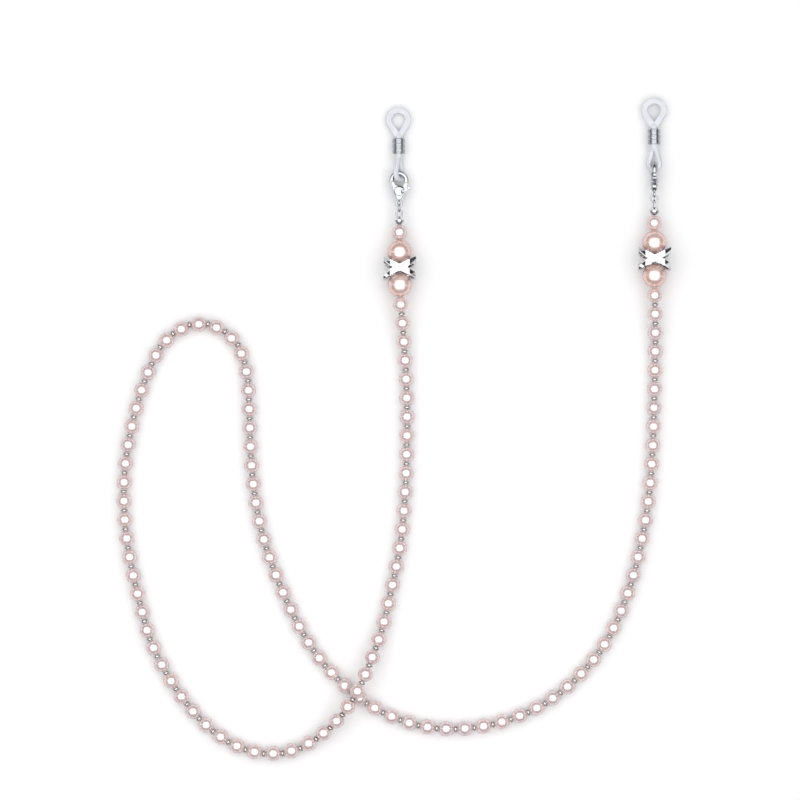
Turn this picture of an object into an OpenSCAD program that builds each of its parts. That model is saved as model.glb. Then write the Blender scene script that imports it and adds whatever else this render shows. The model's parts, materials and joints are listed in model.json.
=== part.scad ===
/* [Strand] */
// Diameter of a small strand pearl
pearl_d = 5; // [4.8:0.1:5]
// Diameter of the hole through a small pearl and a spacer
pearl_bore_d = 1; // [0.9:0.05:1.1]
// Length of a metal spacer bead
spacer_len = 0.95; // [0.8:0.05:1]
// Largest diameter of a metal spacer bead
spacer_d = 2.4; // [2.2:0.1:2.5]
// Diameter of the beading wire
wire_d = 0.4; // [0.3:0.05:0.4]

/* [Ends] */
// Diameter of the two large pearls at each end
large_pearl_d = 8; // [7.8:0.1:8]
// Distance from a large pearl's centre to the middle of the crossed band
large_pearl_offset = 5.5; // [5.5:0.1:5.6]
// Width of one arm of the crossed band
band_arm_w = 1.85; // [1.6:0.05:2]
// Angle between an arm of the crossed band and the square position
band_arm_angle = 26.6; // [22:0.5:27]
// Wall of the crossed band
band_wall = 0.7; // [0.6:0.05:0.8]

/* [Clasp] */
// Diameter of the hook's round section
hook_rod_d = 1.5; // [1.3:0.05:1.5]
// Thickness of the clasp's body
clasp_body_t = 2.4; // [2.2:0.1:2.6]
// Thickness of the trigger in its slot
trigger_t = 0.9; // [0.8:0.05:0.94]
// Diameter of the trigger's rivet
rivet_d = 0.7; // [0.66:0.01:0.72]

/* [Glasses loop] */
// Radius of the round top of the hole that grips a temple arm
temple_hole_r = 2.1; // [2:0.05:2.2]
// Width of the rubber band around the temple hole
temple_band_w = 2.1; // [2:0.05:2.2]
// Thickness of the rubber band around the temple hole
temple_band_t = 2; // [1.8:0.1:2]
// Diameter of the rubber neck under the sleeve
neck_d = 2.8; // [2.7:0.02:2.84]
// Length of the ribbed sleeve
sleeve_len = 5.2; // [4.8:0.1:5.2]

/* [Hidden] */
$fn = 48;

pearl_tint = "#E6D3D3";
large_tint = "#EBC9BE";
steel_tint = "#C9CCD2";
rubber_tint = "#F1F1F3";

pearl_r = pearl_d / 2;
large_r = large_pearl_d / 2;
wire_r = wire_d / 2;
bore_r = pearl_bore_d / 2;
touch = 0.05;

// Each end is one straight line. Heights along it are counted from the
// centre of the strand's end pearl, towards the glasses.
band_at = 12.1;
lower_at = band_at - large_pearl_offset;
upper_at = band_at + large_pearl_offset;
top_pearl_at = 24.2;
tip_at = 28.25;
crimp_at = 27.9;
wire_end_at = 28.3;
link_low = 29.88;
link_high = 30.88;
ring_at = 32.36;
eye_at = 33.81;
hub_at = 37.9;
pivot = [1.3, 37.81];
hook_at = 41.56;
low_loop_at = 44;
neck_from = 48.2;
neck_to = 56.3;
sleeve_at = 53;
temple_at = 61.9;
knot_at = pearl_r + touch;

hook_R = 2.45;
hook_r = hook_rod_d / 2;
link_R = 0.9;
ring_R = 1.2;
rod_r = 0.3;

// Where the crossed band of each end stands, how the end dips towards the
// glasses loop, its turn in plan, and the roll of its clasp and lower loop.
L_END = [[2.4, 53.3, 5.2], 4.1, 0.5, 0, 60];
R_END = [[87.2, 56.4, 5.2], 3.4, 0, -90, -30];

function end_point(e, h) =
  let (a = e[1], d = e[2], s = h - band_at)
  e[0] + s * [-sin(d) * cos(a), cos(d) * cos(a), -sin(a)];

// The way the strand lies between the two ends, by hand, with the height
// of its centre line. It humps over itself once.
ROUTE = [
  [3.4, 34, 4.5], [4.3, 22, 2.8], [4.8, 9, 2.5], [4.8, -4, 2.5],
  [4.3, -20.5, 2.5], [2.8, -37.5, 2.5], [0, -52, 2.5], [-3.8, -68, 3.5],
  [-9.3, -82.5, 7], [-12.3, -88.5, 7.8], [-16.5, -95, 6.5],
  [-24, -102.5, 3.5], [-33, -107.5, 2.5], [-42.5, -108.5, 2.5],
  [-52, -106, 2.5], [-60.5, -100.5, 2.5], [-68.5, -92, 2.5],
  [-75.5, -81.5, 2.5], [-81, -70, 2.5], [-84.5, -57, 2.5],
  [-87.5, -44, 2.5], [-89.3, -30.5, 2.5], [-89.5, -17, 2.5],
  [-88, -4.5, 2.5], [-85, 8.5, 2.5], [-81, 20, 2.5],
  [-75.2, 30, 2.5], [-64.3, 35.3, 2.5], [-53.3, 30.3, 2.5],
  [-48.8, 20, 2.5], [-47.8, 7, 2.5], [-47.3, -8, 2.5],
  [-46.2, -20.5, 2.5], [-44, -33, 2.5], [-40.3, -45, 2.5],
  [-35.5, -57, 2.5], [-30, -68, 2.5], [-23, -78.5, 2.5],
  [-12.5, -88.8, 2.5], [-2, -95.3, 2.5], [9.8, -99.3, 2.5],
  [22.8, -100.2, 2.5], [36, -98, 2.5], [49.5, -92.5, 2.5],
  [62, -82.8, 2.5], [72, -70, 2.5], [78.8, -54, 2.5],
  [83, -38, 2.5], [85.5, -22.5, 2.5], [86.8, -5.5, 2.5],
  [87.3, 11, 2.5], [87.6, 25, 2.8], [87.5, 37, 4.5]];

PTS = concat([end_point(L_END, knot_at)], ROUTE, [end_point(R_END, knot_at)]);
N = len(PTS);
SUB = 10;
function pt(i) = i < 0 ? 2 * PTS[0] - PTS[1]
  : i > N - 1 ? 2 * PTS[N - 1] - PTS[N - 2] : PTS[i];
function blend4(a, b, c, d, t) = 0.5 * (2 * b + (c - a) * t
  + (2 * a - 5 * b + 4 * c - d) * t * t + (3 * b - a - 3 * c + d) * t * t * t);
function lifted(p) = [p[0], p[1], max(p[2], pearl_r)];
CURVE = concat([for (i = [0 : N - 2]) for (k = [0 : SUB - 1])
  lifted(blend4(pt(i - 1), pt(i), pt(i + 1), pt(i + 2), k / SUB))], [PTS[N - 1]]);
STEPS = len(CURVE) - 1;
RUN = [for (i = 0, s = 0; i <= STEPS;
  s = s + (i < STEPS ? norm(CURVE[i + 1] - CURVE[i]) : 0), i = i + 1) s];
LENGTH = RUN[STEPS];
function seek(s, lo, hi) = hi - lo <= 1 ? lo
  : let (m = floor((lo + hi) / 2)) RUN[m] <= s ? seek(s, m, hi) : seek(s, lo, m);
function along(s) = let (i = seek(s, 0, STEPS))
  CURVE[i] + (CURVE[i + 1] - CURVE[i]) * (s - RUN[i]) / (RUN[i + 1] - RUN[i]);

// The wire bends only inside the spacers, and a pearl sits in the middle of
// each straight between them.
COUNT = 113;
PITCH = (LENGTH - 2 * knot_at) / (COUNT - 1);
function bend_at(k) = k <= 0 ? PTS[0] : k >= COUNT ? PTS[N - 1]
  : along(knot_at + PITCH * (k - 0.5));
BENDS = [for (k = [0 : COUNT]) bend_at(k)];
function unit(v) = v / norm(v);
function pearl_dir(i) = unit(BENDS[i] - BENDS[i - 1]);
function pearl_at(i) = i == 1 ? BENDS[0] + knot_at * pearl_dir(1)
  : i == COUNT ? BENDS[COUNT] - knot_at * pearl_dir(COUNT)
  : (BENDS[i] + BENDS[i - 1]) / 2;
function spacer_dir(k) = unit(pearl_dir(k) + pearl_dir(k + 1));
function facing(d) = [0, acos(d[2] / norm(d)), atan2(d[1], d[0])];

// First and last pearl of each stretch of the strand
SPANS = [[1, 12], [13, 28], [29, 44], [45, 60], [61, 76], [77, 90],
  [91, 101], [102, 113]];

module at_end(e) {
  translate(e[0]) rotate([-e[1], 0, e[2]]) translate([0, -band_at, 0]) children();
}
module at_end_rolled(e, roll) {
  at_end(e) rotate([0, roll, 0]) children();
}

module pierced_ball(r, hole) {
  difference() {
    sphere(r);
    cylinder(h = 2 * r + 1, r = hole, center = true);
  }
}
module spacer_bead() {
  h = spacer_len / 2;
  difference() {
    intersection() {
      sphere(spacer_d / 2);
      cylinder(h = spacer_len, r = spacer_d, center = true);
    }
    cylinder(h = 2 * spacer_d, r = bore_r, center = true);
    for (s = [-1, 1]) translate([0, 0, s * h])
      rotate_extrude() polygon([[0.8, -s * 0.02], [1.3, -s * 0.32], [1.3, s * 0.5], [0.8, s * 0.5]]);
  }
}
module pearl_span(n) {
  for (i = [SPANS[n][0] : SPANS[n][1]])
    translate(pearl_at(i)) rotate(facing(pearl_dir(i))) pierced_ball(pearl_r, bore_r);
}
module spacer_span(n) {
  for (k = [SPANS[n][0] : min(SPANS[n][1], COUNT - 1)])
    translate(BENDS[k]) rotate(facing(spacer_dir(k))) spacer_bead();
}

// A round tube of 8 sides through a list of points
function tube_dir(p, i) = let (m = len(p) - 1)
  i == 0 ? unit(p[1] - p[0]) : i == m ? unit(p[m] - p[m - 1])
  : unit(unit(p[i] - p[i - 1]) + unit(p[i + 1] - p[i]));
function tube_ring(c, d, r) = let (x = unit(cross(d, [0, 0, 1])), y = cross(x, d))
  [for (k = [0 : 7]) c + r * (cos(45 * k) * x + sin(45 * k) * y)];
module tube(p, r) {
  m = len(p) - 1;
  rings = [for (i = [0 : m]) each tube_ring(p[i], tube_dir(p, i), r)];
  sides = [for (i = [0 : m - 1]) for (k = [0 : 7])
    let (a = 8 * i + k, b = 8 * i + (k + 1) % 8)
    each [[a, b, b + 8], [a, b + 8, a + 8]]];
  low = [for (k = [7 : -1 : 0]) k];
  high = [for (k = [0 : 7]) 8 * m + k];
  polyhedron(points = rings, faces = concat(sides, [low], [high]), convexity = 10);
}
wire_gap = 0.05;
LEFT_HINGE = 12;
RIGHT_HINGE = 101;

// Part of a ring of round rod in the XY plane
module rod_arc(R, r, from, to) {
  rotate([0, 0, from]) rotate_extrude(angle = to - from)
    translate([R, 0]) circle(r);
}
module soft_square(w, h, c) {
  square([w - 2 * c, h], center = true);
  square([w, h - 2 * c], center = true);
  for (x = [-1, 1]) for (y = [-1, 1])
    translate([x * (w / 2 - c), y * (h / 2 - c)]) circle(c);
}

// Teardrop of band: round top of radius R at the origin, legs closing at
// x = gap, h below it. The first child is the round top's section and the
// last is the legs'. Where they differ, the top runs a little into the legs.
function drop_angle(R, h, gap) = asin(R / sqrt(h * h + gap * gap)) - atan(gap / h);
module drop(R, h, gap) {
  a = drop_angle(R, h, gap);
  run = (R * cos(a) - gap) / sin(a);
  lap = $children > 1 ? 1 : 0;
  rotate([0, 0, -a - lap]) rotate_extrude(angle = 180 + 2 * a + 2 * lap)
    translate([R, 0]) children(0);
  for (m = [0, 1]) mirror([m, 0, 0])
    translate([R * cos(a), -R * sin(a), 0]) rotate([0, 0, -a]) rotate([90, 0, 0])
      linear_extrude(height = run + 0.3) children($children - 1);
}

// Neck of the rubber loop, turned in one piece: a chamfered lower end and a
// round upper end
module neck(r) {
  rotate([-90, 0, 0]) rotate_extrude() intersection() {
    union() {
      polygon([[0, neck_from], [0.9, neck_from], [r, neck_from + 1], [r, neck_to], [0, neck_to]]);
      translate([0, neck_to]) circle(r);
    }
    translate([0, neck_from]) square([2 * r, neck_to - neck_from + 2 * r]);
  }
}

module glasses_loop(e) {
  color(rubber_tint) {
    at_end(e) {
      translate([0, temple_at, 0])
        drop(temple_hole_r + temple_band_w / 2, temple_at - 56.8, 0.5)
          soft_square(temple_band_w, temple_band_t, 0.35);
      neck(neck_d / 2);
    }
    at_end_rolled(e, e[4]) translate([0, low_loop_at, 0]) mirror([0, 1, 0])
      drop(2.05, 49.6 - low_loop_at, 0.45) {
        circle(0.9);
        circle(0.92);
      }
  }
}

module slider_sleeve(e) {
  third = sleeve_len / 3;
  color(steel_tint) at_end(e) translate([0, sleeve_at, 0]) rotate([-90, 0, 0])
    rotate_extrude() difference() {
      union() {
        translate([neck_d / 2 + touch, -sleeve_len / 2]) square([0.3, sleeve_len]);
        for (k = [-1 : 1]) translate([neck_d / 2 + touch + 0.2, k * third - third * 0.4])
          square([0.35, third * 0.8]);
        for (k = [-1 : 1]) for (s = [-1, 1])
          translate([neck_d / 2 + touch + 0.38, k * third + s * third * 0.22]) circle(third * 0.18);
      }
      translate([0, -sleeve_len]) square([neck_d / 2 + touch, 2 * sleeve_len]);
    }
}

// Outline of the claw between its eye and its hook, from the side
module claw_outline() {
  polygon([[-0.6, 34.9], [0.6, 34.9], [1.35, 35.9], [1.9, 37.1], [2.05, 38.2],
    [1.75, 39.2], [0.6, 39.7], [-0.9, 40.2], [-1.6, 41.3], [-2.95, 41.6],
    [-2.95, 40.7], [-2.7, 39.6], [-2.3, 38.3], [-1.75, 37], [-1.2, 35.9]]);
}
module claw_plate(inset, t) {
  translate([0, 0, -t / 2]) linear_extrude(height = t) translate([0, 38.2 * inset])
    scale([1 - inset * 2, 1 - inset]) claw_outline();
}

module clasp_body(e) {
  color(steel_tint) at_end_rolled(e, e[3]) difference() {
    union() {
      claw_plate(0, 1.5);
      claw_plate(0.08, 2);
      translate([0, eye_at, 0]) rod_arc(0.95, 0.35, 0, 360);
      translate([0, eye_at + 0.85, 0]) rotate([-90, 0, 0])
        cylinder(h = 1.9, r1 = 0.45, r2 = 1.15);
      translate([0, hub_at, 0]) rotate_extrude() {
        square([1.2, clasp_body_t / 2]);
        mirror([0, 1]) square([1.2, clasp_body_t / 2]);
        translate([1.2, 0]) intersection() {
          circle(clasp_body_t / 2 - 0.4);
          translate([0, -2]) square([2, 4]);
        }
        translate([1.2, -clasp_body_t / 2]) square([0.3, clasp_body_t]);
      }
      translate([0, hook_at, 0]) rod_arc(hook_R, hook_r, -17, 252);
    }
    // slot for the trigger, pocket for its spring, and the rivet hole
    translate([0.3, 36.6, -0.5]) cube([3, 4, 1]);
    translate([-1.1, 37.1, -0.5]) cube([1.5, 1.5, 1]);
    translate([pivot[0], pivot[1], 0]) cylinder(h = 4, r = rivet_d / 2 + 0.03, center = true);
    translate([0, hook_at, 0]) cylinder(h = 6, r = hook_R - hook_r - 0.05, center = true);
  }
}

module clasp_trigger(e) {
  color(steel_tint) at_end_rolled(e, e[3]) difference() {
    union() {
      translate([0, 0, -trigger_t / 2]) linear_extrude(height = trigger_t) {
        translate(pivot) circle(0.75);
        translate([2.3, 40.21]) circle(0.55);
        polygon([[0.75, 38.3], [1.75, 40.25], [2.8, 40], [2.1, 37.6]]);
        polygon([[1.9, 38.6], [3.2, 39.3], [3.5, 38.5], [1.9, 37.5]]);
      }
      translate([3.35, 38.9, 0]) cylinder(h = 1.4, r = 0.5, center = true);
    }
    translate([pivot[0], pivot[1], 0]) cylinder(h = 4, r = rivet_d / 2 + 0.03, center = true);
  }
}

module clasp_rivet(e) {
  color(steel_tint) at_end_rolled(e, e[3]) translate([pivot[0], pivot[1], 0])
    cylinder(h = clasp_body_t - 0.1, r = rivet_d / 2, center = true);
}

module clasp_spring(e) {
  color(steel_tint) at_end_rolled(e, e[3]) translate([-0.4, 37.85, -0.4])
    rotate([0, 0, 40]) rotate_extrude(angle = 280) translate([0.42, 0]) square([0.12, 0.8]);
}

module jump_ring(e) {
  color(steel_tint) at_end_rolled(e, e[3]) translate([0, ring_at, 0])
    rotate([0, 90, 0]) rod_arc(ring_R, rod_r, 3, 357);
}

module connector_link(e) {
  color(steel_tint) at_end_rolled(e, e[3]) {
    translate([0, link_low, 0]) rod_arc(link_R, rod_r, 180, 360);
    translate([0, link_high, 0]) rod_arc(link_R, rod_r, 0, 180);
    for (x = [-1, 1]) translate([x * link_R, link_low, 0]) rotate([-90, 0, 0])
      cylinder(h = link_high - link_low, r = rod_r);
  }
}

module bead_tip(e) {
  color(steel_tint) at_end_rolled(e, e[3]) translate([0, tip_at, 0]) {
    difference() {
      sphere(1.5);
      sphere(1.1);
      translate([-3, 0, -3]) cube(6);
      rotate([90, 0, 0]) cylinder(h = 4, r = 0.35);
    }
    rotate([0, 90, 0]) rod_arc(1.3, 0.17, -6, 186);
  }
}

module crimp_bead(e) {
  color(steel_tint) at_end(e) translate([0, crimp_at, 0]) rotate([90, 0, 0])
    difference() {
      cylinder(h = 0.9, r = 0.6, center = true);
      cylinder(h = 2, r = wire_r + 0.06, center = true);
    }
}

module end_ball(e, h, r, tint) {
  color(tint) at_end(e) translate([0, h, 0]) rotate([90, 0, 0]) pierced_ball(r, bore_r);
}

module band_outline(k) {
  polygon([[3.25 - 0.4 * k, 5 - k], [5.4 - k, 2.9 - 0.4 * k],
    [5.4 - k, -2.9 + 0.4 * k], [3.25 - 0.4 * k, -5 + k],
    [-3.25 + 0.4 * k, -5 + k], [-5.4 + k, -2.9 + 0.4 * k],
    [-5.4 + k, 2.9 - 0.4 * k], [-3.25 + 0.4 * k, 5 - k]]);
}
// One arm of the crossed band. The arm that passes underneath is sunk a little.
module band_arm(turn, sunk) {
  intersection() {
    rotate([90, 0, 0]) linear_extrude(height = 12, center = true) difference() {
      band_outline(sunk);
      band_outline(band_wall);
    }
    rotate([0, 0, turn]) cube([20, band_arm_w, 14], center = true);
  }
}
module cross_band(e) {
  color(steel_tint) at_end(e) translate([0, band_at, 0]) difference() {
    union() {
      band_arm(band_arm_angle, 0);
      band_arm(-band_arm_angle, 0.14);
      cylinder(h = 9, r = 1.2, center = true);
    }
    rotate([90, 0, 0]) cylinder(h = 4, r = 0.35, center = true);
  }
}

module left_glasses_loop() { glasses_loop(L_END); }
module left_slider_sleeve() { slider_sleeve(L_END); }
module left_clasp_body() { clasp_body(L_END); }
module left_clasp_trigger() { clasp_trigger(L_END); }
module left_clasp_rivet() { clasp_rivet(L_END); }
module left_clasp_spring() { clasp_spring(L_END); }
module left_jump_ring() { jump_ring(L_END); }
module left_connector_link() { connector_link(L_END); }
module left_bead_tip() { bead_tip(L_END); }
module left_crimp_bead() { crimp_bead(L_END); }
module left_top_pearl() { end_ball(L_END, top_pearl_at, pearl_r, pearl_tint); }
module left_upper_large_pearl() { end_ball(L_END, upper_at, large_r, large_tint); }
module left_cross_band() { cross_band(L_END); }
module left_lower_large_pearl() { end_ball(L_END, lower_at, large_r, large_tint); }
module right_glasses_loop() { glasses_loop(R_END); }
module right_slider_sleeve() { slider_sleeve(R_END); }
module right_clasp_body() { clasp_body(R_END); }
module right_clasp_trigger() { clasp_trigger(R_END); }
module right_clasp_rivet() { clasp_rivet(R_END); }
module right_clasp_spring() { clasp_spring(R_END); }
module right_jump_ring() { jump_ring(R_END); }
module right_connector_link() { connector_link(R_END); }
module right_bead_tip() { bead_tip(R_END); }
module right_crimp_bead() { crimp_bead(R_END); }
module right_top_pearl() { end_ball(R_END, top_pearl_at, pearl_r, pearl_tint); }
module right_upper_large_pearl() { end_ball(R_END, upper_at, large_r, large_tint); }
module right_cross_band() { cross_band(R_END); }
module right_lower_large_pearl() { end_ball(R_END, lower_at, large_r, large_tint); }

module left_run_pearls() { color(pearl_tint) pearl_span(0); }
module crossing_pearls() { color(pearl_tint) pearl_span(1); }
module outer_bend_pearls() { color(pearl_tint) pearl_span(2); }
module loop_top_pearls() { color(pearl_tint) pearl_span(3); }
module inner_run_pearls() { color(pearl_tint) pearl_span(4); }
module lower_curve_pearls() { color(pearl_tint) pearl_span(5); }
module right_curve_pearls() { color(pearl_tint) pearl_span(6); }
module right_run_pearls() { color(pearl_tint) pearl_span(7); }
module left_run_spacers() { color(steel_tint) spacer_span(0); }
module crossing_spacers() { color(steel_tint) spacer_span(1); }
module outer_bend_spacers() { color(steel_tint) spacer_span(2); }
module loop_top_spacers() { color(steel_tint) spacer_span(3); }
module inner_run_spacers() { color(steel_tint) spacer_span(4); }
module lower_curve_spacers() { color(steel_tint) spacer_span(5); }
module right_curve_spacers() { color(steel_tint) spacer_span(6); }
module right_run_spacers() { color(steel_tint) spacer_span(7); }

module left_run_wire() {
  k = LEFT_HINGE;
  color(steel_tint) tube(concat([end_point(L_END, wire_end_at)],
    [for (i = [0 : k - 1]) BENDS[i]], [BENDS[k] - wire_gap * pearl_dir(k)]), wire_r);
}
module loop_wire() {
  a = LEFT_HINGE;
  b = RIGHT_HINGE;
  color(steel_tint) tube(concat([BENDS[a] + wire_gap * pearl_dir(a + 1)],
    [for (i = [a + 1 : b - 1]) BENDS[i]], [BENDS[b] - wire_gap * pearl_dir(b)]), wire_r);
}
module right_run_wire() {
  k = RIGHT_HINGE;
  color(steel_tint) tube(concat([BENDS[k] + wire_gap * pearl_dir(k + 1)],
    [for (i = [k + 1 : COUNT]) BENDS[i]], [end_point(R_END, wire_end_at)]), wire_r);
}

left_glasses_loop();
left_slider_sleeve();
left_clasp_body();
left_clasp_trigger();
left_clasp_rivet();
left_clasp_spring();
left_jump_ring();
left_connector_link();
left_bead_tip();
left_crimp_bead();
left_top_pearl();
left_upper_large_pearl();
left_cross_band();
left_lower_large_pearl();
right_glasses_loop();
right_slider_sleeve();
right_clasp_body();
right_clasp_trigger();
right_clasp_rivet();
right_clasp_spring();
right_jump_ring();
right_connector_link();
right_bead_tip();
right_crimp_bead();
right_top_pearl();
right_upper_large_pearl();
right_cross_band();
right_lower_large_pearl();
left_run_pearls();
crossing_pearls();
outer_bend_pearls();
loop_top_pearls();
inner_run_pearls();
lower_curve_pearls();
right_curve_pearls();
right_run_pearls();
left_run_spacers();
crossing_spacers();
outer_bend_spacers();
loop_top_spacers();
inner_run_spacers();
lower_curve_spacers();
right_curve_spacers();
right_run_spacers();
left_run_wire();
loop_wire();
right_run_wire();
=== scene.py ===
import json
import math
import random

import bmesh
import bpy
import numpy as np
from mathutils import Matrix, Vector
from mathutils.kdtree import KDTree

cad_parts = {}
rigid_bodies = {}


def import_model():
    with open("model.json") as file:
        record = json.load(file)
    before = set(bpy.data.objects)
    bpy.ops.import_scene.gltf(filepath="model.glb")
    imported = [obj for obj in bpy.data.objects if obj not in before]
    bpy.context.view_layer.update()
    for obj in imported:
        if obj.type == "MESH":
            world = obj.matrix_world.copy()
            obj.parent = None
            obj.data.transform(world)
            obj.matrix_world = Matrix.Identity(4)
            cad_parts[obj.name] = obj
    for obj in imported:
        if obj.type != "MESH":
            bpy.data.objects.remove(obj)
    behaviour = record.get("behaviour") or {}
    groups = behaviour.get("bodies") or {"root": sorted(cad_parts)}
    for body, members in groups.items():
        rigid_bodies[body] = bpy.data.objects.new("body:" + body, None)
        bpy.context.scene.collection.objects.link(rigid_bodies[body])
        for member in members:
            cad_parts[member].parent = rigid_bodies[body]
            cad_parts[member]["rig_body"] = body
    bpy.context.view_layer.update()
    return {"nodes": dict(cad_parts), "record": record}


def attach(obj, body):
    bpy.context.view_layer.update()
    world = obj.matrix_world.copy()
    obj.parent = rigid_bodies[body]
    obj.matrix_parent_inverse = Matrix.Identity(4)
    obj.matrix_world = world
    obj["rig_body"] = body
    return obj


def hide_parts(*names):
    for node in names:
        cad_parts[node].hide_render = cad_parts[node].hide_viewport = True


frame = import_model()
BODIES = frame["record"]["behaviour"]["bodies"]
BODY = {n: b for b, ns in BODIES.items() for n in ns}
NODES = frame["nodes"]
SCENE = bpy.context.scene
MM = 0.001

# ---------------------------------------------------------------- camera
# Straight down on the laid-out strap, from far enough to look nearly flat.
cam_data = bpy.data.cameras.new("camera")
cam_data.sensor_width = 36.0
CAM_Z = 1.5
cam_data.lens = 36.0 / (266.7 * MM) * (CAM_Z - 0.003)
cam_data.clip_start = 0.05
cam_data.clip_end = 10.0
cam = bpy.data.objects.new("camera", cam_data)
cam.location = (2.5 * MM, 9.5 * MM, CAM_Z)
cam.rotation_euler = (0, 0, 0)
SCENE.collection.objects.link(cam)
SCENE.camera = cam

# ---------------------------------------------------------------- the lay of the strand, in mm
PEARL_R, BORE_R, LARGE_R, WIRE_R = 2.5, 0.5, 4.0, 0.2
KNOT = PEARL_R + 0.05
BAND_AT = 12.1
COUNT = 113
L_END = dict(at=(2.4, 53.3, 5.2), dip=4.1, turn=0.5, clasp=0.0, loop=60.0)
R_END = dict(at=(87.2, 56.4, 5.2), dip=3.4, turn=0.0, clasp=-90.0, loop=-30.0)
ENDS = {"left": L_END, "right": R_END}
ROUTE = [
    (3.4, 34, 4.5), (4.3, 22, 2.8), (4.8, 9, 2.5), (4.8, -4, 2.5),
    (4.3, -20.5, 2.5), (2.8, -37.5, 2.5), (0, -52, 2.5), (-3.8, -68, 3.5),
    (-9.3, -82.5, 7), (-12.3, -88.5, 7.8), (-16.5, -95, 6.5),
    (-24, -102.5, 3.5), (-33, -107.5, 2.5), (-42.5, -108.5, 2.5),
    (-52, -106, 2.5), (-60.5, -100.5, 2.5), (-68.5, -92, 2.5),
    (-75.5, -81.5, 2.5), (-81, -70, 2.5), (-84.5, -57, 2.5),
    (-87.5, -44, 2.5), (-89.3, -30.5, 2.5), (-89.5, -17, 2.5),
    (-88, -4.5, 2.5), (-85, 8.5, 2.5), (-81, 20, 2.5),
    (-75.2, 30, 2.5), (-64.3, 35.3, 2.5), (-53.3, 30.3, 2.5),
    (-48.8, 20, 2.5), (-47.8, 7, 2.5), (-47.3, -8, 2.5),
    (-46.2, -20.5, 2.5), (-44, -33, 2.5), (-40.3, -45, 2.5),
    (-35.5, -57, 2.5), (-30, -68, 2.5), (-23, -78.5, 2.5),
    (-12.5, -88.8, 2.5), (-2, -95.3, 2.5), (9.8, -99.3, 2.5),
    (22.8, -100.2, 2.5), (36, -98, 2.5), (49.5, -92.5, 2.5),
    (62, -82.8, 2.5), (72, -70, 2.5), (78.8, -54, 2.5),
    (83, -38, 2.5), (85.5, -22.5, 2.5), (86.8, -5.5, 2.5),
    (87.3, 11, 2.5), (87.6, 25, 2.8), (87.5, 37, 4.5),
]
SPANS = {
    "left_run": (1, 12), "crossing": (13, 28), "outer_bend": (29, 44),
    "loop_top": (45, 60), "inner_run": (61, 76), "lower_curve": (77, 90),
    "right_curve": (91, 101), "right_run": (102, 113),
}
LEFT_HINGE, RIGHT_HINGE = 12, 101


def end_matrix(e, roll=0.0):
    """An end's own line along +Y, counted from its last strand pearl, to mm in the row frame."""
    return (
        Matrix.Translation(e["at"])
        @ Matrix.Rotation(math.radians(e["turn"]), 4, "Z")
        @ Matrix.Rotation(math.radians(-e["dip"]), 4, "X")
        @ Matrix.Translation((0, -BAND_AT, 0))
        @ Matrix.Rotation(math.radians(roll), 4, "Y")
    )


def end_point(e, h):
    return np.array(end_matrix(e) @ Vector((0, h, 0)))


def lay():
    pts = [end_point(L_END, KNOT)] + [np.array(p, float) for p in ROUTE] + [end_point(R_END, KNOT)]
    n, sub = len(pts), 10

    def pt(i):
        return 2 * pts[0] - pts[1] if i < 0 else 2 * pts[-1] - pts[-2] if i > n - 1 else pts[i]

    curve = []
    for i in range(n - 1):
        a, b, c, d = pt(i - 1), pt(i), pt(i + 1), pt(i + 2)
        for k in range(sub):
            t = k / sub
            p = 0.5 * (2 * b + (c - a) * t + (2 * a - 5 * b + 4 * c - d) * t * t + (3 * b - a - 3 * c + d) * t ** 3)
            p[2] = max(p[2], PEARL_R)
            curve.append(p)
    curve.append(pts[-1])
    curve = np.array(curve)
    run = np.concatenate([[0], np.cumsum(np.linalg.norm(np.diff(curve, axis=0), axis=1))])
    pitch = (run[-1] - 2 * KNOT) / (COUNT - 1)

    def along(s):
        return np.array([np.interp(s, run, curve[:, k]) for k in range(3)])

    return [pts[0]] + [along(KNOT + pitch * (k - 0.5)) for k in range(1, COUNT)] + [pts[-1]]


BENDS = lay()


def unit(v):
    return v / np.linalg.norm(v)


def pearl_dir(i):
    return unit(BENDS[i] - BENDS[i - 1])


def pearl_at(i):
    if i == 1:
        return BENDS[0] + KNOT * pearl_dir(1)
    if i == COUNT:
        return BENDS[COUNT] - KNOT * pearl_dir(COUNT)
    return (BENDS[i] + BENDS[i - 1]) / 2


def spacer_dir(k):
    return unit(pearl_dir(k) + pearl_dir(k + 1))


# ---------------------------------------------------------------- the wire, as three cords
def eased(points, reach=0.9, steps=4):
    """A line through the points whose corners are rounded."""
    out = [points[0]]
    for a, b, c in zip(points, points[1:], points[2:]):
        r = min(reach, 0.4 * np.linalg.norm(b - a), 0.4 * np.linalg.norm(c - b))
        p, q = b - r * unit(b - a), b + r * unit(c - b)
        for k in range(steps + 1):
            t = k / steps
            out.append((1 - t) ** 2 * p + 2 * t * (1 - t) * b + t * t * q)
    out.append(points[-1])
    return [Vector(p) * MM for p in out]


def wire(name, points):
    line = eased([np.array(p, float) for p in points])
    cu = bpy.data.curves.new(name, "CURVE")
    cu.dimensions = "3D"
    cu.bevel_depth = WIRE_R * MM
    cu.bevel_resolution = 2
    cu.use_fill_caps = True
    sp = cu.splines.new("POLY")
    sp.points.add(len(line) - 1)
    for p, co in zip(sp.points, line):
        p.co = (*co, 1.0)
    ob = bpy.data.objects.new(name, cu)
    SCENE.collection.objects.link(ob)
    length = sum((b - a).length for a, b in zip(line, line[1:]))
    return ob, line[0], length


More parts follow.
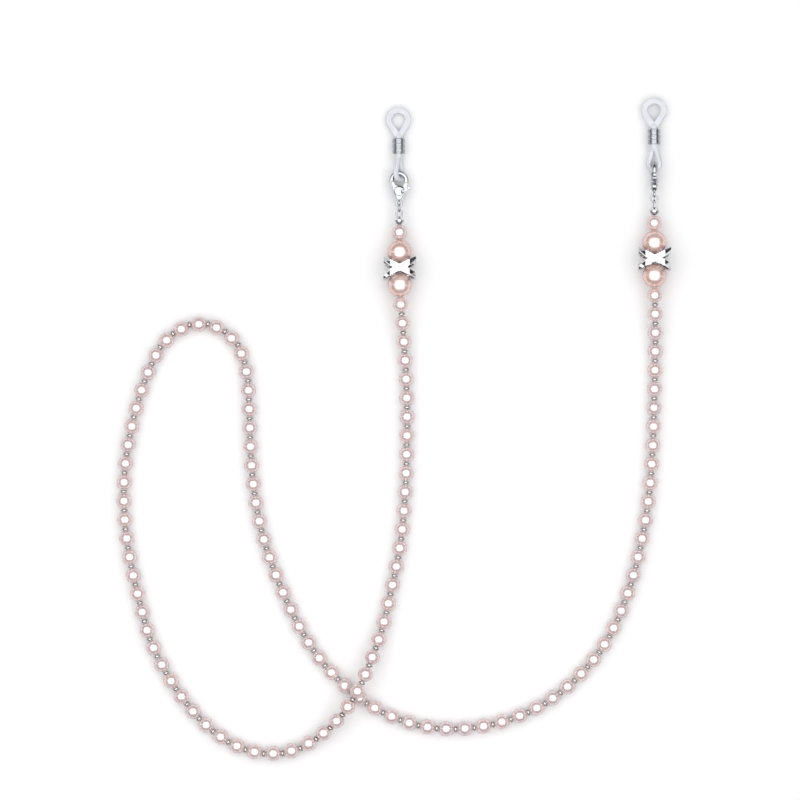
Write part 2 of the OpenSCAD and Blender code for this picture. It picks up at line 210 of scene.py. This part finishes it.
WIRE_END = 28.3
a, b = LEFT_HINGE, RIGHT_HINGE
WIRES = {
    "left_run_wire": wire("left_run_wire_strand", [end_point(L_END, WIRE_END)] + BENDS[:a] + [BENDS[a] - 0.05 * pearl_dir(a)]),
    "loop_wire": wire("loop_wire_strand", [BENDS[a] + 0.05 * pearl_dir(a + 1)] + BENDS[a + 1:b] + [BENDS[b] - 0.05 * pearl_dir(b)]),
    "right_run_wire": wire("right_run_wire_strand", [end_point(R_END, WIRE_END)] + BENDS[COUNT:b:-1] + [BENDS[b] + 0.05 * pearl_dir(b + 1)]),
}


# ---------------------------------------------------------------- materials
def new_material(name):
    m = bpy.data.materials.new(name)
    m.use_nodes = True
    nt = m.node_tree
    nt.nodes.clear()
    out = nt.nodes.new("ShaderNodeOutputMaterial")
    bsdf = nt.nodes.new("ShaderNodeBsdfPrincipled")
    nt.links.new(bsdf.outputs["BSDF"], out.inputs["Surface"])
    return m, nt, bsdf


def node(nt, kind, **values):
    n = nt.nodes.new(kind)
    for k, v in values.items():
        if k in n.inputs:
            n.inputs[k].default_value = v
        else:
            setattr(n, k, v)
    return n


def noise(nt, scale, detail=2.0, rough=0.5, coords=None):
    n = node(nt, "ShaderNodeTexNoise", Scale=scale, Detail=detail, Roughness=rough)
    nt.links.new(coords or node(nt, "ShaderNodeTexCoord").outputs["Object"], n.inputs["Vector"])
    return n.outputs["Fac"]


def ramp(nt, value, stops):
    r = nt.nodes.new("ShaderNodeValToRGB")
    while len(r.color_ramp.elements) < len(stops):
        r.color_ramp.elements.new(0.5)
    for el, (pos, col) in zip(r.color_ramp.elements, stops):
        el.position = pos
        el.color = (*col, 1.0) if len(col) == 3 else col
    nt.links.new(value, r.inputs["Fac"])
    return r.outputs["Color"]


def mixed(nt, fac, x, y, mode="MIX"):
    m = nt.nodes.new("ShaderNodeMix")
    m.data_type = "RGBA"
    m.blend_type = mode
    for i, v in ((0, fac), (6, x), (7, y)):
        if isinstance(v, (int, float)):
            m.inputs[i].default_value = v
        elif isinstance(v, tuple):
            m.inputs[i].default_value = (*v, 1.0)
        else:
            nt.links.new(v, m.inputs[i])
    return m.outputs[2]


def mathed(nt, op, x, y=0.0, clamp=False):
    m = nt.nodes.new("ShaderNodeMath")
    m.operation = op
    m.use_clamp = clamp
    for i, v in ((0, x), (1, y)):
        if isinstance(v, (int, float)):
            m.inputs[i].default_value = v
        else:
            nt.links.new(v, m.inputs[i])
    return m.outputs[0]


def attribute(nt, name):
    n = nt.nodes.new("ShaderNodeAttribute")
    n.attribute_name = name
    return n.outputs["Fac"]


def bump(nt, bsdf, height, strength, distance):
    n = node(nt, "ShaderNodeBump", Strength=strength, Distance=distance)
    nt.links.new(height, n.inputs["Height"])
    nt.links.new(n.outputs["Normal"], bsdf.inputs["Normal"])
    return n


def pearl_material(name, face, edge, cool, core=(0.72, 0.66, 0.64)):
    """Pearl lacquer: a soft glow over a moulded bead, cloudy nacre in two tones, a gloss that fades at the edge, a worn rim at the hole."""
    m, nt, bsdf = new_material(name)
    facing = node(nt, "ShaderNodeLayerWeight", Blend=0.45).outputs["Facing"]
    cloud = noise(nt, 520.0, 3.0, 0.55)
    swirl = noise(nt, 190.0, 1.0, 0.5)
    body = mixed(nt, ramp(nt, noise(nt, 330.0, 2.0), [(0.3, (0, 0, 0)), (0.75, (1, 1, 1))]), tuple(0.67 * p + 0.33 * q for p, q in zip(face, edge)),
                 tuple(0.53 * p + 0.47 * q for p, q in zip(face, edge)))
    shade = mixed(nt, mathed(nt, "MULTIPLY", ramp(nt, cloud, [(0.35, (0, 0, 0)), (0.7, (1, 1, 1))]), 0.16), body, cool)
    tint = attribute(nt, "tint")
    warm = mixed(nt, mathed(nt, "MULTIPLY", tint, 0.45, True), shade, cool)
    dull = mixed(nt, ramp(nt, swirl, [(0.4, (0, 0, 0)), (0.75, (0.16, 0.16, 0.16))]), warm, (0.93, 0.86, 0.84))
    rim = attribute(nt, "rim")
    worn = ramp(nt, mathed(nt, "ADD", rim, mathed(nt, "MULTIPLY", noise(nt, 2600.0, 3.0), 0.35)),
                [(0.55, (0, 0, 0)), (0.95, (1, 1, 1))])
    nt.links.new(mixed(nt, worn, dull, core), bsdf.inputs["Base Color"])
    bsdf.inputs["Metallic"].default_value = 0.3
    nt.links.new(ramp(nt, noise(nt, 900.0, 2.0), [(0.3, (0.22, 0.22, 0.22)), (0.8, (0.33, 0.33, 0.33))]), bsdf.inputs["Roughness"])
    bsdf.inputs["IOR"].default_value = 1.45
    bsdf.inputs["Subsurface Weight"].default_value = 0.12
    bsdf.inputs["Subsurface Radius"].default_value = (0.9 * MM, 0.6 * MM, 0.55 * MM)
    nt.links.new(ramp(nt, facing, [(0.0, (1, 1, 1)), (0.35, (0.8, 0.8, 0.8)), (0.55, (0.2, 0.2, 0.2)), (0.75, (0, 0, 0))]), bsdf.inputs["Coat Weight"])
    nt.links.new(ramp(nt, facing, [(0.0, (0.5, 0.5, 0.5)), (0.4, (0.45, 0.45, 0.45)), (0.7, (0.08, 0.08, 0.08))]), bsdf.inputs["Specular IOR Level"])
    bsdf.inputs["Specular Tint"].default_value = (*edge, 1)
    bsdf.inputs["Coat Roughness"].default_value = 0.06
    bsdf.inputs["Coat IOR"].default_value = 2.4
    bsdf.inputs["Sheen Weight"].default_value = 0.05
    bsdf.inputs["Sheen Tint"].default_value = (0.86, 0.8, 0.95, 1)
    bump(nt, bsdf, noise(nt, 1500.0, 3.0), 0.05, 0.00002)
    return m


def metal_material(name, colour, dark, rough=(0.08, 0.2), grain=2600.0, depth=0.000012, strength=0.25):
    """Bright plating: streaked roughness, faint cast ripple, painted shade darkening the colour in the corners,
    brighter on worn edges.
    """
    m, nt, bsdf = new_material(name)
    point = node(nt, "ShaderNodeNewGeometry").outputs["Pointiness"]
    fine = noise(nt, grain, 4.0, 0.6)
    broad = noise(nt, grain / 7, 2.0)
    base = mixed(nt, ramp(nt, broad, [(0.35, (0, 0, 0)), (0.8, (0.35, 0.35, 0.35))]), colour, dark)
    # painted shade: the colour is pulled towards a deep tone in hollows and inside corners (low pointiness), where
    # shade falls
    corner_shade = ramp(nt, point, [(0.42, (1, 1, 1)), (0.5, (0, 0, 0))])
    base = mixed(nt, mathed(nt, "MULTIPLY", corner_shade, 0.7), base, tuple(0.35 * c for c in dark))
    edge = ramp(nt, point, [(0.53, (0, 0, 0)), (0.62, (1, 1, 1))])
    base = mixed(nt, mathed(nt, "MULTIPLY", edge, 0.5), base, (0.96, 0.96, 0.97))
    nt.links.new(base, bsdf.inputs["Base Color"])
    bsdf.inputs["Metallic"].default_value = 1.0
    r0, r1 = rough
    nt.links.new(ramp(nt, fine, [(0.3, (r0,) * 3), (0.75, (r1,) * 3)]), bsdf.inputs["Roughness"])
    bump(nt, bsdf, mathed(nt, "ADD", fine, broad), strength, depth)
    return m


def rubber_material(name):
    """Milky clear silicone: light goes through it, and it has a satin skin with faint cloudy streaks."""
    m, nt, bsdf = new_material(name)
    milk = noise(nt, 240.0, 2.0)
    base = ramp(nt, milk, [(0.3, (0.66, 0.672, 0.715)), (0.7, (0.73, 0.74, 0.78))])
    cloud = ramp(nt, noise(nt, 900.0, 3.0), [(0.35, (0, 0, 0)), (0.8, (0.25, 0.25, 0.25))])
    base = mixed(nt, cloud, base, (0.82, 0.825, 0.855))
    nt.links.new(base, bsdf.inputs["Base Color"])
    bsdf.inputs["IOR"].default_value = 1.41
    bsdf.inputs["Transmission Weight"].default_value = 0.0
    bsdf.inputs["Subsurface Weight"].default_value = 0.75
    bsdf.inputs["Subsurface Radius"].default_value = (1.6 * MM, 1.6 * MM, 1.7 * MM)
    nt.links.new(ramp(nt, noise(nt, 900.0, 2.0), [(0.3, (0.26, 0.26, 0.26)), (0.8, (0.38, 0.38, 0.38))]), bsdf.inputs["Roughness"])
    bsdf.inputs["Coat Weight"].default_value = 0.3
    bsdf.inputs["Coat Roughness"].default_value = 0.15
    bump(nt, bsdf, noise(nt, 420.0, 2.0), 0.04, 0.00002)
    return m


def wire_material(name):
    """Nylon-coated strand: faint twisted grooves under a clear coat."""
    m, nt, bsdf = new_material(name)
    lines = node(nt, "ShaderNodeTexWave", Scale=1500.0, Distortion=1.0, Detail=1.0)
    nt.links.new(node(nt, "ShaderNodeTexCoord").outputs["Object"], lines.inputs["Vector"])
    nt.links.new(ramp(nt, lines.outputs["Fac"], [(0.2, (0.5, 0.5, 0.52)), (0.8, (0.78, 0.78, 0.8))]), bsdf.inputs["Base Color"])
    bsdf.inputs["Metallic"].default_value = 0.8
    bsdf.inputs["Roughness"].default_value = 0.3
    bsdf.inputs["Coat Weight"].default_value = 0.5
    bump(nt, bsdf, lines.outputs["Fac"], 0.3, 0.00002)
    return m


MAT = {
    "pearl": pearl_material("pearl_lacquer", (0.9, 0.715, 0.675), (0.66, 0.51, 0.49), (0.72, 0.61, 0.66)),
    "large_pearl": pearl_material("large_pearl_lacquer", (0.9, 0.64, 0.565), (0.68, 0.45, 0.4), (0.8, 0.6, 0.58)),
    "spacer_metal": metal_material("spacer_plating", (0.5, 0.465, 0.45), (0.34, 0.31, 0.3), (0.12, 0.24)),
    "band_metal": metal_material("band_plating", (0.54, 0.54, 0.55), (0.4, 0.4, 0.42), (0.04, 0.12), 1800.0, 0.000008, 0.15),
    "clasp_metal": metal_material("clasp_plating", (0.42, 0.43, 0.455), (0.26, 0.27, 0.3), (0.08, 0.18)),
    "spring_steel": metal_material("spring_steel", (0.55, 0.55, 0.57), (0.4, 0.4, 0.42), (0.25, 0.4)),
    "wire": wire_material("beading_wire"),
    "rubber": rubber_material("silicone"),
}
SLOT = {s["node"]: s["material_slot"] for s in frame["record"]["subparts"]}


# ---------------------------------------------------------------- mesh helpers (built in mm, then scaled)
def settle(me, name, cad, smooth=True):
    """The finished mesh becomes a piece that stands for one CAD node and rides on its body."""
    me.transform(Matrix.Scale(MM, 4))
    me.name = name
    if smooth:
        me.polygons.foreach_set("use_smooth", [True] * len(me.polygons))
    me.materials.clear()
    me.materials.append(MAT[SLOT[cad]])
    me.update()
    ob = bpy.data.objects.new(name, me)
    SCENE.collection.objects.link(ob)
    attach(ob, BODY[cad])
    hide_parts(cad)
    return ob


def turned(profile, around, close=True):
    """Vertices and faces of a profile [(r, z), ...] turned about Z. A closed profile gives a ring-shaped solid."""
    n = len(profile)
    ang = np.arange(around) * 2 * np.pi / around
    v = [(r * math.cos(t), r * math.sin(t), z) for t in ang for r, z in profile]
    f = []
    for i in range(around):
        j = (i + 1) % around
        for k in range(n if close else n - 1):
            l = (k + 1) % n
            f.append((i * n + k, j * n + k, j * n + l, i * n + l))
    return np.array(v), f


def ball_profile(r, hole, rows):
    """A pierced ball: its outside from one hole mouth to the other with a small soft rim, then the hole's wall."""
    a0 = math.asin((hole + 0.12) / r)
    pts, rim = [], []
    for k in range(rows + 1):
        t = a0 + (math.pi - 2 * a0) * k / rows
        pts.append((r * math.sin(t), r * math.cos(t)))
        rim.append(0.0 if 1 < k < rows - 1 else 0.35)
    z = r * math.cos(a0)
    low = [(hole + 0.05, -z - 0.005), (hole + 0.01, -z + 0.03), (hole, -z + 0.1)]
    high = [(hole, z - 0.1), (hole + 0.01, z - 0.03), (hole + 0.05, z + 0.005)]
    mid = [(hole, -z / 3), (hole, z / 3)]
    return pts + low + mid + high, rim + [0.8, 1, 1, 1, 1, 1, 1, 0.8]


def along_dir(d):
    return Vector(d).to_track_quat("Z", "Y").to_matrix()


def many(profile, around, places, rim=None, seed=1):
    """One mesh of the turned shape at each place (centre, direction), each with its own twist and its own tint."""
    v0, f0 = turned(profile, around)
    rnd = random.Random(seed)
    vs, fs, tint, rims = [], [], [], []
    for c, d in places:
        m = np.array(along_dir(d) @ Matrix.Rotation(rnd.uniform(0, 6.28), 3, "Z"))
        base = sum(len(x) for x in vs)
        vs.append(v0 @ m.T + np.array(c))
        fs += [tuple(base + i for i in q) for q in f0]
        tint += [max(0.0, min(1.0, rnd.gauss(0.5, 0.28)))] * len(v0)
        rims += (list(rim) * around) if rim else [0.0] * len(v0)
    me = bpy.data.meshes.new("many")
    me.from_pydata([tuple(p) for p in np.concatenate(vs)], [], fs)
    me.validate()
    for key, val in (("tint", tint), ("rim", rims)):
        me.attributes.new(key, "FLOAT", "POINT").data.foreach_set("value", np.array(val, np.float32))
    bm = bmesh.new()
    bm.from_mesh(me)
    bmesh.ops.recalc_face_normals(bm, faces=bm.faces)
    bm.to_mesh(me)
    bm.free()
    return me


def evaluated(ob):
    dg = bpy.context.evaluated_depsgraph_get()
    me = bpy.data.meshes.new_from_object(ob.evaluated_get(dg))
    bpy.data.objects.remove(ob)
    return me


def copy_mm(cad):
    me = NODES[cad].data.copy()
    me.transform(Matrix.Scale(1000, 4))
    bm = bmesh.new()
    bm.from_mesh(me)
    bmesh.ops.remove_doubles(bm, verts=bm.verts, dist=1e-3)
    bm.to_mesh(me)
    bm.free()
    ob = bpy.data.objects.new("work", me)
    SCENE.collection.objects.link(ob)
    return ob


def domed(me, frame_mm, reach, keep, core, rim):
    """The flat faces of a cast plate crowned towards its middle. What lies within core of the mid-plane stays, and the
    plate's outline is its upright faces between core and rim."""
    inv = frame_mm.inverted()
    flat = inv.to_3x3()
    local = [inv @ v.co for v in me.vertices]
    wall = KDTree(len(local))
    for v, p in zip(me.vertices, local):
        if abs((flat @ v.normal).z) < 0.3 and core < abs(p.z) < rim:
            wall.insert(Vector((p.x, p.y, 0)), v.index)
    wall.balance()
    for v, p in zip(me.vertices, local):
        if abs(p.z) > core:
            t = min(1.0, (wall.find(Vector((p.x, p.y, 0)))[2] or 0.0) / reach)
            p.z = math.copysign(core + (abs(p.z) - core) * (keep + (1.0 - keep) * math.sqrt(1.0 - (1.0 - t) ** 2)), p.z)
            v.co = frame_mm @ p


def cast(cad, name, voxel, smooth=4, dome=None):
    """A moulded or cast version of a CAD solid: its corners run together softly."""
    ob = copy_mm(cad)
    r = ob.modifiers.new("remesh", "REMESH")
    r.mode = "VOXEL"
    r.voxel_size = voxel * 1.0
    if dome:
        me = evaluated(ob)
        domed(me, *dome)
        ob = bpy.data.objects.new("work", me)
        SCENE.collection.objects.link(ob)
    s = ob.modifiers.new("smooth", "SMOOTH")
    s.factor = 0.5
    s.iterations = smooth
    return settle(evaluated(ob), name, cad)


def edged(cad, name, width, segments=2, angle=28.0):
    """A stamped or turned version of a CAD solid, with small bevels along its sharp edges."""
    ob = copy_mm(cad)
    bm = bmesh.new()
    bm.from_mesh(ob.data)
    bmesh.ops.dissolve_limit(bm, angle_limit=math.radians(0.6), verts=bm.verts, edges=bm.edges)
    bm.to_mesh(ob.data)
    bm.free()
    ob.data.polygons.foreach_set("use_smooth", [True] * len(ob.data.polygons))
    b = ob.modifiers.new("bevel", "BEVEL")
    b.width = width
    b.segments = segments
    b.limit_method = "ANGLE"
    b.angle_limit = math.radians(angle)
    b.use_clamp_overlap = True
    b.harden_normals = True
    return settle(evaluated(ob), name, cad)


# ---------------------------------------------------------------- strand pearls and spacers
prof, rims = ball_profile(PEARL_R, BORE_R, 26)
for i, (span, (lo, hi)) in enumerate(SPANS.items()):
    me = many(prof, 40, [(pearl_at(k), pearl_dir(k)) for k in range(lo, hi + 1)], rims, 11 + i)
    settle(me, span + "_pearl_beads", span + "_pearls")

SPACER = [(0.5, -0.34), (0.55, -0.43), (0.64, -0.47), (0.78, -0.465), (0.9, -0.41), (1.02, -0.33), (1.12, -0.24),
          (1.18, -0.12), (1.2, 0.0), (1.18, 0.12), (1.12, 0.24), (1.02, 0.33), (0.9, 0.41), (0.78, 0.465), (0.64, 0.47),
          (0.55, 0.43), (0.5, 0.34), (0.5, 0.0)]
for i, (span, (lo, hi)) in enumerate(SPANS.items()):
    me = many(SPACER, 28, [(BENDS[k], spacer_dir(k)) for k in range(lo, min(hi, COUNT - 1) + 1)], None, 31 + i)
    settle(me, span + "_spacer_beads", span + "_spacers")

# ---------------------------------------------------------------- the two ends
TIPS = {}
for side, e in ENDS.items():
    m = end_matrix(e)
    axis = np.array((m.to_3x3() @ Vector((0, 1, 0))))
    for what, h, r in (("top_pearl", 24.2, PEARL_R), ("upper_large_pearl", 17.6, LARGE_R), ("lower_large_pearl", 6.6, LARGE_R)):
        p, q = ball_profile(r, BORE_R, 26 if r < 3 else 36)
        me = many(p, 40 if r < 3 else 56, [(end_point(e, h), axis)], q, 71 + len(side) + int(h))
        settle(me, f"{side}_{what}_bead", f"{side}_{what}")
    edged(f"{side}_cross_band", f"{side}_cross_band_hoops", 0.09)
    cast(f"{side}_clasp_body", f"{side}_clasp_casting", 0.07, 8, (end_matrix(e, e["clasp"]), 2.3, 0.1, 0.56, 0.72))
    cast(f"{side}_clasp_trigger", f"{side}_clasp_lever", 0.05, 4)
    cast(f"{side}_glasses_loop", f"{side}_glasses_loop_rubber", 0.12, 14)
    edged(f"{side}_slider_sleeve", f"{side}_slider_sleeve_coil", 0.06)
    edged(f"{side}_clasp_rivet", f"{side}_clasp_rivet_pin", 0.08, 3)
    edged(f"{side}_clasp_spring", f"{side}_clasp_spring_leaf", 0.02)
    edged(f"{side}_jump_ring", f"{side}_jump_ring_wire", 0.04, 2, 50)
    TIPS[side] = edged(f"{side}_bead_tip", f"{side}_bead_tip_cup", 0.05, 2, 40)
    edged(f"{side}_crimp_bead", f"{side}_crimp_tube", 0.1, 3, 40)
    edged(f"{side}_connector_link", f"{side}_connector_link_wire", 0.01, 1, 60)

# ---------------------------------------------------------------- cords
for cad, (ob, start, length) in WIRES.items():
    ob.data.materials.append(MAT["wire"])
    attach(ob, BODY[cad])
    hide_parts(cad)

# ---------------------------------------------------------------- floor and light
fl = bpy.data.meshes.new("floor")
fl.from_pydata([(-4, -4, 0), (4, -4, 0), (4, 4, 0), (-4, 4, 0)], [], [(0, 1, 2, 3)])
floor = bpy.data.objects.new("floor", fl)
SCENE.collection.objects.link(floor)
fm, nt, bsdf = new_material("pale_floor")
nt.links.new(ramp(nt, noise(nt, 3.0), [(0.0, (0.9, 0.9, 0.9)), (1.0, (0.93, 0.93, 0.93))]), bsdf.inputs["Base Color"])
bsdf.inputs["Roughness"].default_value = 0.75
bsdf.inputs["Specular IOR Level"].default_value = 0.2
fl.materials.append(fm)


def softbox(name, at, look, size, power, colour=(1, 1, 1)):
    li = bpy.data.lights.new(name, "AREA")
    li.shape = "RECTANGLE"
    li.size, li.size_y = size
    li.energy = power
    li.color = colour
    ob = bpy.data.objects.new(name, li)
    ob.location = at
    ob.rotation_euler = (Vector(look) - Vector(at)).to_track_quat("-Z", "Y").to_euler()
    ob.visible_camera = False
    SCENE.collection.objects.link(ob)
    return ob


softbox("overhead", (0, 0.02, 0.75), (0, 0.02, 0), (1.9, 1.6), 12.0)
sparkle = softbox("overhead_sparkle", (0, 0.02, 0.74), (0, 0.02, 0), (1.4, 1.25), 5.0)
sparkle.visible_diffuse = False
softbox("left_strip", (-1.3, 0.1, 0.3), (0, 0, 0), (0.12, 1.3), 0.8, (1.0, 0.985, 0.97))
softbox("right_strip", (1.3, -0.1, 0.4), (0, 0, 0), (0.1, 1.0), 0.5, (0.97, 0.985, 1.0))
world = bpy.data.worlds.new("world")
world.use_nodes = True
wt = world.node_tree
up = node(wt, "ShaderNodeSeparateXYZ")
wt.links.new(node(wt, "ShaderNodeTexCoord").outputs["Generated"], up.inputs[0])
wt.links.new(ramp(wt, up.outputs["Z"], [(0.0, (0.1, 0.1, 0.11)), (0.3, (0.22, 0.22, 0.23)), (0.8, (0.9, 0.9, 0.92))]),
             wt.nodes["Background"].inputs[0])
wt.nodes["Background"].inputs[1].default_value = 0.45
SCENE.world = world
SCENE.view_settings.view_transform = "Standard"
